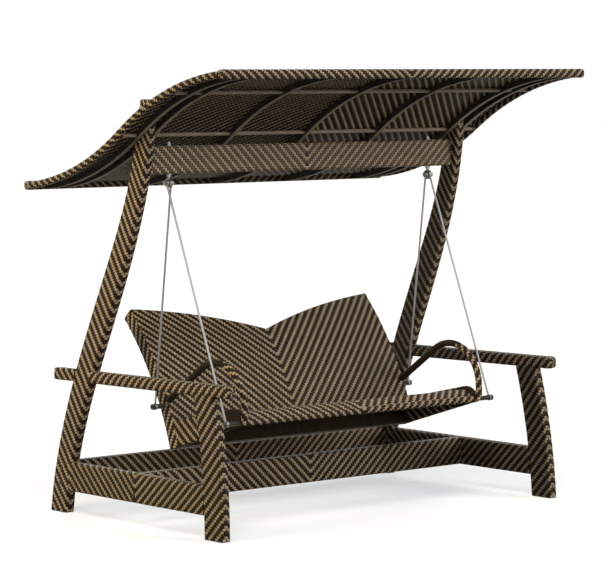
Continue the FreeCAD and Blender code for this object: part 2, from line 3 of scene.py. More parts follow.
import bpy
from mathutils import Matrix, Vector


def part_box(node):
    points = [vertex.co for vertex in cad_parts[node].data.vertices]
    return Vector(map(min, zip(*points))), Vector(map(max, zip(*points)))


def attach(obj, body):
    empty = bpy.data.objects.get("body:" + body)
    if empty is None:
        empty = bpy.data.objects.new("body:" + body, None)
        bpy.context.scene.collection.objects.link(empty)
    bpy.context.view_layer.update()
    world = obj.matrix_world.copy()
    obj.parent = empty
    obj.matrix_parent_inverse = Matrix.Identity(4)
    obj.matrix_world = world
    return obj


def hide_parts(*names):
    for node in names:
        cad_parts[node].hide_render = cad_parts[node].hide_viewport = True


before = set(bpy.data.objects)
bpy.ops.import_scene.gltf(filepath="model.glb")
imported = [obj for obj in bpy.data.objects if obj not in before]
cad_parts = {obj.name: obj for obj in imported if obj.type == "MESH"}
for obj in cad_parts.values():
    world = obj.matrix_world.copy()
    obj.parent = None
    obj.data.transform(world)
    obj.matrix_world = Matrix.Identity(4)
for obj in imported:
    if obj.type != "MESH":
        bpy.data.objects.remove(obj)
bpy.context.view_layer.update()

scene = bpy.context.scene


# The view. The swing is seen from its front left, from about the height of its canopy's front
# edge, with a long lens from well away, as in a catalogue picture.
camera_data = bpy.data.cameras.new("view")
camera_data.sensor_fit = "HORIZONTAL"
camera_data.sensor_width = 36.0
camera_data.lens = 175.125
camera_data.clip_end = 200.0
camera = bpy.data.objects.new("view", camera_data)
camera.location = (-8.6953, -10.0668, 1.9999)
camera.rotation_euler = (math.radians(85.5899), 0.0, math.radians(-40.7145))
scene.collection.objects.link(camera)
scene.camera = camera
scene.view_settings.view_transform = "Standard"


# The studio. A pale floor runs out to a white surround. Three broad soft lamps stand low round the
# front of the swing, the left one warmer, and weaker ones hang overhead and behind; a small warm
# lamp stands close by on the left.
surround_glow = 0.16
floor_reach = 60.0
floor_paleness = (0.25, 0.42)
floor_lift = 0.54
lamp_spread = math.radians(32.0)
lamp_white = (1.0, 0.97, 0.92)
near_place = Vector((-4.2, -0.3, 2.7))
near_aim = Vector((-0.85, 0.2, 1.25))


def feed(tree, made, inputs):
    """Fills a node's inputs with plain values, or links them to other nodes' outputs."""
    for name, value in inputs:
        if isinstance(value, bpy.types.NodeSocket):
            tree.links.new(value, made.inputs[name])
        else:
            made.inputs[name].default_value = value


def add_node(tree, kind, inputs=(), **settings):
    """A new node, with its settings made and its inputs filled."""
    made = tree.nodes.new(kind)
    for name, value in settings.items():
        setattr(made, name, value)
    feed(tree, made, inputs)
    return made


def wired(tree, operation, *values):
    """The result of one sum over values and other nodes' outputs."""
    return add_node(tree, "ShaderNodeMath", enumerate(values), operation=operation).outputs[0]


def hang_lamp(name, kind, way, strength, colour):
    """A lamp that shines from the given way and leaves no glare on glossy pieces."""
    data = bpy.data.lights.new(name, kind)
    data.energy = strength
    data.color = colour
    lamp = bpy.data.objects.new(name, data)
    lamp.rotation_euler = Vector(way).to_track_quat("Z", "Y").to_euler()
    lamp.visible_glossy = False
    scene.collection.objects.link(lamp)
    return lamp


world = bpy.data.worlds.new("studio")
scene.world = world
world.use_nodes = True
tree = world.node_tree
tree.nodes.clear()
seen = add_node(tree, "ShaderNodeLightPath").outputs
mirrored = wired(tree, "ADD", seen["Is Camera Ray"], seen["Is Glossy Ray"])
shown = add_node(tree, "ShaderNodeMath", [(0, mirrored), (1, seen["Is Transmission Ray"])],
                 operation="ADD", use_clamp=True)
surround = add_node(tree, "ShaderNodeBackground", [("Color", (1.0, 1.0, 1.0, 1.0)), ("Strength", 1.0)])
glow = add_node(tree, "ShaderNodeBackground", [("Color", (1.0, 0.99, 0.97, 1.0)),
                                               ("Strength", surround_glow)])
pick = add_node(tree, "ShaderNodeMixShader", [(0, shown.outputs[0]), (1, glow.outputs[0]),
                                              (2, surround.outputs[0])])
add_node(tree, "ShaderNodeOutputWorld", [("Surface", pick.outputs[0])])

floor_mesh = bpy.data.meshes.new("studio_floor")
floor_corners = [(x * floor_reach, y * floor_reach, 0) for x, y in ((-1, -1), (1, -1), (1, 1), (-1, 1))]
floor_mesh.from_pydata(floor_corners, [], [(0, 1, 2, 3)])
floor = bpy.data.objects.new("studio_floor", floor_mesh)
scene.collection.objects.link(floor)
floor_paint = bpy.data.materials.new("studio_floor")
floor_paint.use_nodes = True
tree = floor_paint.node_tree
tree.nodes.clear()
in_view = add_node(tree, "ShaderNodeLightPath").outputs["Is Camera Ray"]
paleness = add_node(tree, "ShaderNodeMapRange", [("Value", in_view), ("To Min", floor_paleness[0]),
                                                 ("To Max", floor_paleness[1])])
matte = add_node(tree, "ShaderNodeBsdfDiffuse", [("Color", paleness.outputs[0])])
lift = add_node(tree, "ShaderNodeEmission", [("Color", (0.93, 0.96, 1.0, 1.0)),
                                             ("Strength", wired(tree, "MULTIPLY", in_view, floor_lift))])
both = add_node(tree, "ShaderNodeAddShader", [(0, matte.outputs[0]), (1, lift.outputs[0])])
add_node(tree, "ShaderNodeOutputMaterial", [("Surface", both.outputs[0])])
floor_mesh.materials.append(floor_paint)

for name, way, strength, colour in (("lamp_left", (-1.0, 0.12, 0.28), 2.20, (1.0, 0.84, 0.52)),
                                    ("lamp_front_left", (-0.75, -0.80, 0.30), 1.05, lamp_white),
                                    ("lamp_front_right", (0.60, -0.90, 0.25), 3.20, lamp_white),
                                    ("lamp_over", (-0.40, -0.45, 1.0), 2.00, lamp_white),
                                    ("lamp_behind", (0.55, 0.90, 0.80), 1.20, (1.0, 0.98, 0.95))):
    hang_lamp(name, "SUN", way, strength, colour).data.angle = lamp_spread
near_lamp = hang_lamp("lamp_left_near", "SPOT", near_place - near_aim, 420.0, (1.0, 0.80, 0.46))
near_lamp.location = near_place
near_lamp.data.spot_size = math.radians(46.0)
near_lamp.data.spot_blend = 1.0
near_lamp.data.shadow_soft_size = 0.7


# Rear posts. Each is an S-curved aluminium box section, leaning in a little, under a cover of flat
# resin strips woven in a two-over two-under herringbone: light strips go round it, dark ones along.
cell = 0.011
weave_repeat = 4
strip_gloss = (0.16, 0.34)
strip_sheen = 0.09
streak_stretch = (9.0, 0.9, 1.0)
streak_pull = (0.9, -0.40)
tone_pull = 0.75
tone_spread = 57.0
strand_tone = 0.6
float_tone = 0.4
ribs_across = 18.85
rib_relief = 0.5
streak_relief = 0.6
weld = 0.00002
map_margin = 0.001
strip_overhang = 0.4
off_the_map = (-9.0, -9.0)
end_face_share = 0.1
corner_share_most = 0.48

stance_half = 1.000
frame_thick = 0.048
frame_lean = math.radians(1.845)
frame_corner = 0.006
cover_inset = 0.001
end_gap = 0.005
post_top = 1.850
post_middle = [(0.0, 0.553), (0.4625, 0.452), (0.971, 0.240), (1.406, 0.066), (1.85, -0.014)]
post_half_least = 0.028
face_slack = 0.0005
x_way = Vector((1, 0, 0))
y_way = Vector((0, 1, 0))
z_way = Vector((0, 0, 1))


def new_material(name):
    """A material with its node tree and its shader."""
    material = bpy.data.materials.new(name)
    material.use_nodes = True
    return material, material.node_tree, material.node_tree.nodes["Principled BSDF"]


def two_tone(tree, share, first, second, places=(0.0, 1.0)):
    """A colour that runs from one tone to another."""
    ramp = add_node(tree, "ShaderNodeValToRGB", [(0, share)])
    for element, place, colour in zip(ramp.color_ramp.elements, places, (first, second)):
        element.position = place
        element.color = colour + (1.0,)
    return ramp.outputs[0]


def grain(tree, shader, height, strength, distance):
    """Fine relief on a surface, too small to model."""
    bump = add_node(tree, "ShaderNodeBump", [("Height", height), ("Strength", strength),
                                             ("Distance", distance)])
    feed(tree, shader, [("Normal", bump.outputs[0])])


def strip_finish_group():
    """Colour streaks, gloss and fine ribs along a woven strip, read from the strip's own marks."""
    group = bpy.data.node_groups.new("strip_finish", "ShaderNodeTree")
    for way, name, kind in (("INPUT", "Main Colour", "Color"), ("INPUT", "Other Colour", "Color"),
                            ("OUTPUT", "Colour", "Color"), ("OUTPUT", "Roughness", "Float"),
                            ("OUTPUT", "Height", "Float")):
        group.interface.new_socket(name=name, in_out=way, socket_type="NodeSocket" + kind)
    given = add_node(group, "NodeGroupInput").outputs
    tone = add_node(group, "ShaderNodeAttribute", attribute_name="tone").outputs["Fac"]
    mark = add_node(group, "ShaderNodeAttribute", attribute_name="strand").outputs["Vector"]
    stretch = add_node(group, "ShaderNodeMapping", [("Vector", mark), ("Scale", streak_stretch)])
    streak = add_node(group, "ShaderNodeTexNoise",
                      [("Vector", stretch.outputs[0]), ("W", wired(group, "MULTIPLY", tone, tone_spread)),
                       ("Scale", 1.6), ("Detail", 3.0)], noise_dimensions="4D").outputs[0]
    share = wired(group, "ADD", wired(group, "MULTIPLY", tone, tone_pull),
                  wired(group, "MULTIPLY_ADD", streak, *streak_pull))
    mix = add_node(group, "ShaderNodeMix", [("Factor", share), (6, given["Main Colour"]),
                                            (7, given["Other Colour"])], data_type="RGBA", clamp_factor=True)
    gloss = add_node(group, "ShaderNodeMapRange", [("Value", streak), ("To Min", strip_gloss[0]),
                                                   ("To Max", strip_gloss[1])])
    over = add_node(group, "ShaderNodeSeparateXYZ", [(0, mark)]).outputs["X"]
    ribs = wired(group, "COSINE", wired(group, "MULTIPLY", over, ribs_across))
    height = wired(group, "ADD", wired(group, "MULTIPLY", ribs, rib_relief),
                   wired(group, "MULTIPLY", streak, streak_relief))
    add_node(group, "NodeGroupOutput", [("Colour", mix.outputs[2]), ("Roughness", gloss.outputs[0]),
                                        ("Height", height)])
    return group


strip_finish = strip_finish_group()


def strip_resin(name, main, other):
    """A resin strip: two browns that run along it in streaks, with a soft satin gloss."""
    material, tree, shader = new_material(name)
    colours = [("Main Colour", main + (1.0,)), ("Other Colour", other + (1.0,))]
    finish = add_node(tree, "ShaderNodeGroup", colours, node_tree=strip_finish).outputs
    feed(tree, shader, [("Base Color", finish["Colour"]), ("Roughness", finish["Roughness"]),
                        ("Specular IOR Level", strip_sheen)])
    grain(tree, shader, finish["Height"], strength=0.35, distance=0.0004)
    return material


light_strip = strip_resin("wicker_light_strip", (0.262, 0.204, 0.142), (0.172, 0.126, 0.080))
dark_strip = strip_resin("wicker_dark_strip", (0.011, 0.0062, 0.0034), (0.026, 0.0155, 0.0085))

core_wrap, tree, shader = new_material("wicker_core")
place = add_node(tree, "ShaderNodeTexCoord").outputs["Object"]
grime = add_node(tree, "ShaderNodeTexNoise", [("Vector", place), ("Scale", 140.0)]).outputs[0]
feed(tree, shader, [("Base Color", two_tone(tree, grime, (0.005, 0.004, 0.003), (0.016, 0.011, 0.007))),
                    ("Roughness", 0.7), ("Specular IOR Level", 0.2)])


def herringbone_tree():
    """Lays two sets of strips on a guide surface, whose 'weave' map counts the weave's cells."""
    tree = bpy.data.node_groups.new("herringbone_weave", "GeometryNodeTree")
    for name, kind in (("Guide", "Geometry"), ("Strands", "Int"), ("Rows", "Int"), ("Turn", "Int"),
                       ("Lean", "Float"), ("Closed", "Bool"), ("First Repeat", "Int"), ("Repeats", "Int"),
                       ("Right Repeats", "Int"), ("Left Repeats", "Int"), ("Strip Width", "Float"),
                       ("Strip Length", "Float"), ("Rise", "Float"), ("Sink", "Float"), ("Crown", "Float"),
                       ("Light", "Material"), ("Dark", "Material"), ("Core", "Material"), ("Seed", "Int")):
        tree.interface.new_socket(name=name, in_out="INPUT", socket_type="NodeSocket" + kind)
    tree.interface.new_socket(name="Woven", in_out="OUTPUT", socket_type="NodeSocketGeometry")
    given = add_node(tree, "NodeGroupInput").outputs

    def add(kind, inputs=(), **settings):
        """The first output of a new node in this tree."""
        return add_node(tree, kind, inputs, **settings).outputs[0]

    def sums(operation, *values):
        """The result of one sum in this tree."""
        return wired(tree, operation, *values)

    def vector(**parts):
        """A vector from its parts."""
        return add("ShaderNodeCombineXYZ", parts.items())

    def place_parts():
        """The parts of each point's place."""
        return add_node(tree, "ShaderNodeSeparateXYZ", [(0, add("GeometryNodeInputPosition"))]).outputs

    def chance(number):
        """A random share that stays with a number."""
        drawn = add_node(tree, "FunctionNodeRandomValue", [("ID", number), ("Seed", given["Seed"])])
        return drawn.outputs[1]

    def clamped(value, count):
        """A place kept just inside the map."""
        return sums("MINIMUM", sums("MAXIMUM", value, map_margin), sums("SUBTRACT", count, map_margin))

    def bowed(share, power, height):
        """How far a strip falls away from its middle."""
        return sums("MULTIPLY", sums("POWER", sums("ABSOLUTE", sums("MULTIPLY", share, 2.0)), power), height)

    # Light strips: where each float of each strand lies, stepping one row per strand from the turn.
    index = add("GeometryNodeInputIndex")
    repeats = given["Repeats"]
    strand = sums("FLOOR", sums("DIVIDE", sums("ADD", index, 0.5), repeats))
    repeat = sums("ADD", sums("FLOORED_MODULO", index, repeats), given["First Repeat"])
    from_turn = sums("ABSOLUTE", sums("ADD", sums("SUBTRACT", strand, given["Turn"]), 0.5))
    from_turn = sums("SUBTRACT", from_turn, 0.5)
    step = sums("FLOORED_MODULO", sums("MULTIPLY", from_turn, given["Lean"]), weave_repeat)
    light_u = sums("ADD", strand, 0.5)
    light_v = sums("ADD", sums("MULTIPLY_ADD", repeat, weave_repeat, step), 1.0)
    light_count = sums("MULTIPLY", given["Strands"], repeats)

    # Dark strips: their floats fill the gaps, counted outwards from the turn on either side.
    spans = sums("ADD", given["Right Repeats"], given["Left Repeats"])
    row = sums("FLOOR", sums("DIVIDE", sums("ADD", index, 0.5), spans))
    span = sums("FLOORED_MODULO", index, spans)
    on_left = sums("GREATER_THAN", sums("ADD", span, 0.5), given["Right Repeats"])
    span = sums("SUBTRACT", span, sums("MULTIPLY", on_left, given["Right Repeats"]))
    way = sums("MULTIPLY_ADD", on_left, -2.0, 1.0)
    shift = sums("MULTIPLY_ADD", given["Lean"], row, 1.5)
    shift = sums("SUBTRACT", shift, sums("MULTIPLY", given["Lean"], 0.5))
    out = sums("MULTIPLY_ADD", span, weave_repeat, sums("FLOORED_MODULO", shift, weave_repeat))
    dark_u = sums("ADD", given["Turn"], sums("MULTIPLY", way, sums("ADD", out, 1.0)))
    dark_v = sums("ADD", row, 0.5)
    dark_count = sums("MULTIPLY", given["Rows"], spans)

    def strips(count, u, v, limit, along_u, strand_id, material):
        """One set of strips, bent over their neighbours and laid on the guide."""
        points = add("GeometryNodePoints", [("Count", count), ("Position", vector(X=u, Y=v))])
        tone = sums("ADD", sums("MULTIPLY", chance(strand_id), strand_tone),
                    sums("MULTIPLY", chance(index), float_tone))
        points = add("GeometryNodeStoreNamedAttribute",
                     [("Geometry", points), ("Name", "tone"), ("Value", tone)],
                     data_type="FLOAT", domain="POINT")
        long, wide = ("X", "Y") if along_u else ("Y", "X")
        flat = add("GeometryNodeMeshGrid", [("Size " + long, given["Strip Length"]), ("Vertices " + long, 5),
                                            ("Size " + wide, given["Strip Width"]), ("Vertices " + wide, 3)])
        parts = place_parts()
        over = sums("DIVIDE", parts[wide], given["Strip Width"])
        along = sums("DIVIDE", parts[long], given["Strip Length"])
        flat = add("GeometryNodeStoreNamedAttribute",
                   [("Geometry", flat), ("Name", "strand"), ("Value", vector(X=over, Y=along))],
                   data_type="FLOAT_VECTOR", domain="POINT")
        drop = bowed(along, 4.0, sums("ADD", given["Rise"], given["Sink"]))
        height = sums("SUBTRACT", sums("SUBTRACT", given["Rise"], drop), bowed(over, 2.0, given["Crown"]))
        bent = add("GeometryNodeSetPosition", [("Geometry", flat), ("Offset", vector(Z=height))])
        value, last = limit
        inside = sums("MULTIPLY", sums("GREATER_THAN", value, -strip_overhang),
                      sums("LESS_THAN", value, sums("ADD", last, strip_overhang)))
        laid = add("GeometryNodeInstanceOnPoints", [("Points", points), ("Selection", inside),
                                                    ("Instance", bent)])
        real = add("GeometryNodeRealizeInstances", [("Geometry", laid)])
        parts = place_parts()
        v_open = clamped(parts["Y"], given["Rows"])
        v_round = sums("FLOORED_MODULO", parts["Y"], given["Rows"])
        v_in = add("GeometryNodeSwitch", [("Switch", given["Closed"]), ("False", v_open), ("True", v_round)],
                   input_type="FLOAT")
        spot = vector(X=clamped(parts["X"], given["Strands"]), Y=v_in)
        cells = add("GeometryNodeInputNamedAttribute", [("Name", "weave")], data_type="FLOAT_VECTOR")

        def on_guide(field):
            """What the guide has at each point's place on the map."""
            return add_node(tree, "GeometryNodeSampleUVSurface",
                            [("Mesh", given["Guide"]), ("Value", field),
                             ("UV Map", cells), ("Sample UV", spot)],
                            data_type="FLOAT_VECTOR").outputs

        place = on_guide(add("GeometryNodeInputPosition"))
        facing = on_guide(add("GeometryNodeInputNormal"))[0]
        missed = add("FunctionNodeBooleanMath", [(0, place["Is Valid"])], operation="NOT")
        lift = add("ShaderNodeVectorMath", [(0, facing), ("Scale", parts["Z"])], operation="SCALE")
        where = add("ShaderNodeVectorMath", [(0, place[0]), (1, lift)], operation="ADD")
        kept = add("GeometryNodeDeleteGeometry", [("Geometry", real), ("Selection", missed)])
        mapped = add("GeometryNodeSetPosition", [("Geometry", kept), ("Position", where)])
        whole = add("GeometryNodeMergeByDistance", [("Geometry", mapped), ("Distance", weld)])
        smooth = add("GeometryNodeSetShadeSmooth", [("Geometry", whole)])
        return add("GeometryNodeSetMaterial", [("Geometry", smooth), ("Material", material)])

    light = strips(light_count, light_u, light_v, (light_v, given["Rows"]), False, strand, given["Light"])
    dark = strips(dark_count, dark_u, dark_v, (dark_u, given["Strands"]), True, row, given["Dark"])
    core = add("GeometryNodeSetMaterial", [("Geometry", given["Guide"]), ("Material", given["Core"])])
    joined = add("GeometryNodeJoinGeometry", [(0, part) for part in (dark, light, core)])
    add_node(tree, "NodeGroupOutput", [(0, joined)])
    return tree


herringbone = herringbone_tree()


def woven(name, points, faces, cells, strands, rows, body, replaced, lean=1.0, turn=0, closed=False, **sizes):
    """Weaves strips over a guide surface, and returns the piece as a plain mesh that rides its body."""
    mesh = bpy.data.meshes.new(name + "_guide")
    mesh.from_pydata([tuple(p) for p in points], [], faces)
    layer = mesh.uv_layers.new(name="weave")
    for corner, spot in enumerate(spot for face_cells in cells for spot in face_cells):
        layer.data[corner].uv = spot
    mesh.polygons.foreach_set("use_smooth", [True] * len(faces))
    guide = bpy.data.objects.new(name + "_guide", mesh)
    scene.collection.objects.link(guide)
    weave = guide.modifiers.new("weave", "NODES")
    weave.node_group = herringbone
    values = {"Strands": strands, "Rows": rows, "Turn": turn, "Lean": lean, "Closed": closed,
              "First Repeat": 0 if closed else -1,
              "Repeats": rows // weave_repeat if closed else math.ceil(rows / weave_repeat) + 2,
              "Right Repeats": math.ceil((strands - turn) / weave_repeat) + 1,
              "Left Repeats": math.ceil(turn / weave_repeat),
              "Strip Width": 0.93, "Strip Length": 2.04, "Rise": 0.0019, "Sink": 0.0009, "Crown": 0.0008,
              "Light": light_strip, "Dark": dark_strip, "Core": core_wrap, "Seed": len(name) + strands}
    values.update(sizes)
    for item in herringbone.interface.items_tree:
        if item.in_out == "INPUT" and item.name in values:
            weave[item.identifier] = values[item.name]
    depsgraph = bpy.context.evaluated_depsgraph_get()
    made = bpy.data.meshes.new_from_object(guide.evaluated_get(depsgraph), preserve_all_data_layers=True,
                                           depsgraph=depsgraph)
    made.name = name
    piece = bpy.data.objects.new(name, made)
    scene.collection.objects.link(piece)
    bpy.data.objects.remove(guide)
    bpy.data.meshes.remove(mesh)
    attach(piece, body)
    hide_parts(*replaced)
    return piece


def lengths_along(spots):
    """The running length along a line of points."""
    run = [0.0]
    for before, after in zip(spots, spots[1:]):
        run.append(run[-1] + (after - before).length)
    return run


def steps(first, last, count):
    """Even steps from one number to another, with both ends."""
    return [first + (last - first) * step / count for step in range(count + 1)]


def section(centre, across, upright, width, height):
    """A box section, drawn in a little so that its strips stand out to the piece's own size."""
    return centre, across, upright, width - 2 * cover_inset, height - 2 * cover_inset


def section_ring(station, corner):
    """Points round a box section with rounded corners, anticlockwise from the middle of one face."""
    centre, across, upright, width, height = station
    corner = min(corner, corner_share_most * min(width, height))
    ring = []
    for quarter in (1, 2, 3, 0):
        side = 1 if quarter in (0, 3) else -1
        top = 1 if quarter in (0, 1) else -1
        if side == -top:
            ring.append(centre + upright * top * height / 2)
        for step in range(4):
            turn = quarter * math.pi / 2 + step * math.pi / 6
            x = side * (width / 2 - corner) + corner * math.cos(turn)
            y = top * (height / 2 - corner) + corner * math.sin(turn)
            ring.append(centre + across * x + upright * y)
    return ring


def rounded_end(end, inner, radius):
    """Sections from the middle of an end face out over its rounded rim."""
    centre, across, upright, width, height = end
    way = (inner[0] - centre).normalized()
    sections = [(centre, across, upright, end_face_share * width, end_face_share * height)]
    for step in range(4):
        turn = step * math.pi / 6
        inset = 2 * radius * (1 - math.sin(turn))
        sections.append((centre + way * radius * (1 - math.cos(turn)), across, upright,
                         width - inset, height - inset))
    return sections


def sleeve(stations, corner, start_round=0.0, end_round=0.0):
    """A closed guide surface through box sections, with its map counted in weave cells."""
    line = list(stations)
    if start_round:
        line = rounded_end(line[0], line[1], start_round) + line[1:]
    if end_round:
        line = line[:-1] + rounded_end(line[-1], line[-2], end_round)[::-1]
    rings = [section_ring(station, corner) for station in line]
    run = [0.0]
    for before, after in zip(rings, rings[1:]):
        run.append(run[-1] + sum((b - a).length for a, b in zip(before, after)) / len(before))
    strands = max(weave_repeat, round(run[-1] / cell))
    girths = [lengths_along(ring + ring[:1]) for ring in rings]
    around = [[mark / girth[-1] for mark in girth] for girth in girths]
    rows = weave_repeat * max(1, round(max(girth[-1] for girth in girths) / (weave_repeat * cell)))
    points = [point for ring in rings for point in ring]
    count = len(rings[0])
    faces = []
    cells = []
    for r in range(len(rings) - 1):
        low = run[r] / run[-1] * strands
        high = run[r + 1] / run[-1] * strands
        for i in range(count):
            j = (i + 1) % count
            faces.append((r * count + i, r * count + j, (r + 1) * count + j, (r + 1) * count + i))
            cells.append(((low, around[r][i] * rows), (low, around[r][i + 1] * rows),
                          (high, around[r + 1][i + 1] * rows), (high, around[r + 1][i] * rows)))
    first = tuple(range(count))[::-1]
    last = tuple(range((len(rings) - 1) * count, len(rings) * count))
    for cap in (first, last):
        faces.append(cap)
        cells.append([off_the_map] * count)
    return points, faces, cells, strands, rows


def halves(points, faces, cells, strands, rows):
    """Parts a sleeve's guide along the middles of its two narrow faces."""
    parts = []
    for first, last in ((0, rows // 2), (rows // 2, rows)):
        chosen = [i for i, marks in enumerate(cells) if first <= sum(v for u, v in marks) / len(marks) < last
                  or (first == 0 and marks[0][0] < 0)]
        parts.append((points, [faces[i] for i in chosen],
                      [[(u, v - first) for u, v in cells[i]] for i in chosen], strands, rows // 2))
    return parts


def leaned(side, inset, y, z):
    """A point of a side frame drawn upright, set to the frame's lean; side is 1 right, -1 left."""
    x = stance_half - inset
    out = stance_half + (x - stance_half) * math.cos(frame_lean) - z * math.sin(frame_lean)
    return Vector((side * out, y, (x - stance_half) * math.sin(frame_lean) + z * math.cos(frame_lean)))


def lean_across(side):
    """The way square across a side frame."""
    return Vector((math.cos(frame_lean), 0, side * math.sin(frame_lean)))


def lean_upright(side):
    """The way up along a side frame."""
    return leaned(side, 0, 0, 1) - leaned(side, 0, 0, 0)


def between(table, value):
    """A straight-line reading from a sorted table of pairs."""
    for (a, u), (b, v) in zip(table, table[1:]):
        if value <= b:
            return u + (v - u) * (value - a) / (b - a)
    return table[-1][1]


def post_edges(name):
    """Front and rear edge of a post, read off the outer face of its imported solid."""
    front = {}
    rear = {}
    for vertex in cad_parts[name].data.vertices:
        x = abs(vertex.co.x) - stance_half
        z = -x * math.sin(frame_lean) + vertex.co.z * math.cos(frame_lean)
        inset = -(x * math.cos(frame_lean) + vertex.co.z * math.sin(frame_lean))
        gap = vertex.co.y - between(post_middle, z)
        if abs(inset) < face_slack and abs(gap) > post_half_least:
            (front if gap < 0 else rear)[round(z, 4)] = vertex.co.y
    return sorted(front.items()), sorted(rear.items())


for name, side in (("left_rear_post", -1), ("right_rear_post", 1)):
    front, rear = post_edges(name)
    stations = []
    for z in steps(end_gap, post_top, 24):
        low = between(front, z)
        high = between(rear, z)
        stations.append(section(leaned(side, frame_thick / 2, (low + high) / 2, z), lean_across(side), y_way,
                                frame_thick, high - low))
    guides = halves(*sleeve(stations, frame_corner, end_round=frame_corner))
    for part, way, guide in zip(("left", "right"), (-1.0, 1.0), guides):
        woven("%s_%s_wicker" % (name, part), *guide, "frame", [name], lean=way)


# Front legs. Bowed box sections under the same cover, standing on nylon glides and carrying the
# front of the armrests.
leg_depth = 0.121
leg_front = -0.611
leg_sweep = 0.092
leg_bow = 0.017
leg_top = 0.612
for name, side in (("left_front_leg", -1), ("right_front_leg", 1)):
    stations = []
    for share in steps(0.0, 1.0, 8):
        y = leg_front + leg_depth / 2 + leg_sweep * share - 4 * leg_bow * share * (1 - share)
        z = end_gap + (leg_top - 2 * end_gap) * share
        stations.append(section(leaned(side, frame_thick / 2, y, z), lean_across(side), y_way,
                                frame_thick, leg_depth))
    for part, way, guide in zip(("left", "right"), (1.0, -1.0), halves(*sleeve(stations, frame_corner))):
        woven("%s_%s_wicker" % (name, part), *guide, "frame", [name], lean=way)


# Side rails. Straight box sections between leg and post at shin height; the herringbone turns
# over half-way along them.
rail_low = 0.101
rail_height = 0.128
rail_turn = -0.006
butt_gap = 0.004
for name, side in (("left_side_rail", -1), ("right_side_rail", 1)):
    low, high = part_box(name)
    stations = [section(leaned(side, frame_thick / 2, y, rail_low + rail_height / 2), lean_upright(side),
                        lean_across(side), rail_height, frame_thick)
                for y in steps(low.y + butt_gap, high.y - butt_gap, 4)]
    guide = sleeve(stations, frame_corner)
    middle = round(guide[3] * (rail_turn - low.y) / (high.y - low.y))
    woven(name + "_wicker", *guide, "frame", [name], turn=middle, closed=True)


# Armrests. A wider bar with a rounded nose runs from over the front leg back to the post, and a
# short tail of the same bar stands out behind the post.
rest_low = 0.598
rest_height = 0.054
rest_fall = 0.014
rest_width = 0.056
rest_corner = 0.012
nose_end = -0.627
nose_round = 0.020
tail_end = 0.610
tail_width = 0.048
tail_corner = 0.008
tail_round = 0.010
tail_gap = 0.012
tail_clear = 0.0005
end_inset = 0.0008


def armrest_station(side, y, width):
    """A section of an armrest, which falls a little towards the back."""
    z = rest_low + rest_height / 2 - rest_fall * y / (tail_end - nose_end)
    return section(leaned(side, frame_thick / 2, y, z), lean_upright(side), lean_across(side), rest_height,
                   width)


for name, side in (("left_armrest", -1), ("right_armrest", 1)):
    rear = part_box(name)[1].y
    stations = [armrest_station(side, y + end_inset, rest_width) for y in steps(nose_end, rear - butt_gap, 8)]
    guide = sleeve(stations, rest_corner, start_round=nose_round)
    woven(name + "_wicker", *guide, "frame", [name], lean=-1.0, closed=True)

start = tail_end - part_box("armrest_tails")[1].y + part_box("armrest_tails")[0].y
for side_name, side in (("left", -1), ("right", 1)):
    stations = [armrest_station(side, y, tail_width)
                for y in steps(start + tail_gap, tail_end - tail_clear, 3)]
    guide = sleeve(stations, tail_corner, end_round=tail_round)
    woven(side_name + "_armrest_tail_wicker", *guide, "frame", ["armrest_tails"], closed=True)


# Top beam and cross rails. Three box sections join the side frames: the beam that carries the
# bench, with its dark strips woven paler as painted light, and two low rails. Their herringbone meets
# in a V half-way along.
beam_bite = 0.002
# The beam's dark strips are paler than the others: painted light on the beam's front.
beam_painted_light_strip = strip_resin("wicker_beam_painted_light_strip", (0.056, 0.0400, 0.0275), (0.092, 0.067, 0.047))
for name, darker in (("top_beam", beam_painted_light_strip), ("mid_cross_rail", dark_strip),
                     ("rear_cross_rail", dark_strip)):
    low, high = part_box(name)
    middle = (low + high) / 2
    reach_low, reach_high = (stance_half - (frame_thick + z * math.sin(frame_lean)) / math.cos(frame_lean)
                             for z in (low.z, high.z))
    reach = (reach_low + reach_high) / 2 + beam_bite
    stations = [section(Vector((x, middle.y, middle.z)), y_way, z_way, high.y - low.y, high.z - low.z)
                for x in steps(-reach, reach, 8)]
    guide = sleeve(stations, frame_corner)
    woven(name + "_wicker", *guide, "frame", [name], lean=-1.0, turn=guide[3] // 2, closed=True, Dark=darker)


# Canopy edges. Bars run all round the canopy's S, deeper ones with rounded ends at front and rear and
# slimmer ones at the sides. They are wrapped slantwise, so that they look like rope.
canopy_half = 1.072
canopy_run = 0.702
canopy_mid = 1.710
canopy_steep = math.radians(35.0)
canopy_flat = math.radians(4.3)
canopy_bend = canopy_run / (math.sin(canopy_steep) - math.sin(canopy_flat))
edge_bar = 0.030
side_bar_corner = 0.009
end_bar_height = 0.040
end_bar_corner = 0.011
end_bar_round = 0.010
canopy_reach = canopy_run - edge_bar


def canopy_spot(x, y, lift):
    """A point lifted square off the canopy's S, and the upward normal there."""
    slope = math.asin(math.sin(canopy_steep) - abs(y) / canopy_bend)
    side = 1 if y <= 0 else -1
    reach = canopy_bend + side * lift
    spot = Vector((x, side * (reach * math.sin(slope) - canopy_bend * math.sin(canopy_steep)),
                   canopy_mid + side * (reach * math.cos(slope) - canopy_bend * math.cos(canopy_steep))))
    return spot, Vector((0, math.sin(slope), math.cos(slope)))


for name, end in (("canopy_front_edge", -canopy_reach), ("canopy_rear_edge", canopy_reach)):
    spot, up = canopy_spot(0, end, 0)
    flat = Vector((0, up.z, -up.y))
    centre = spot + flat * (edge_bar / 2 if end > 0 else -edge_bar / 2)
    stations = [section(centre + x_way * (canopy_half - end_inset) * share, flat, up, edge_bar,
                        end_bar_height) for share in steps(-1.0, 1.0, 12)]
    guide = sleeve(stations, end_bar_corner, start_round=end_bar_round, end_round=end_bar_round)
    woven(name + "_wicker", *guide, "frame", [name], lean=-1.0, turn=guide[3] // 2, closed=True)

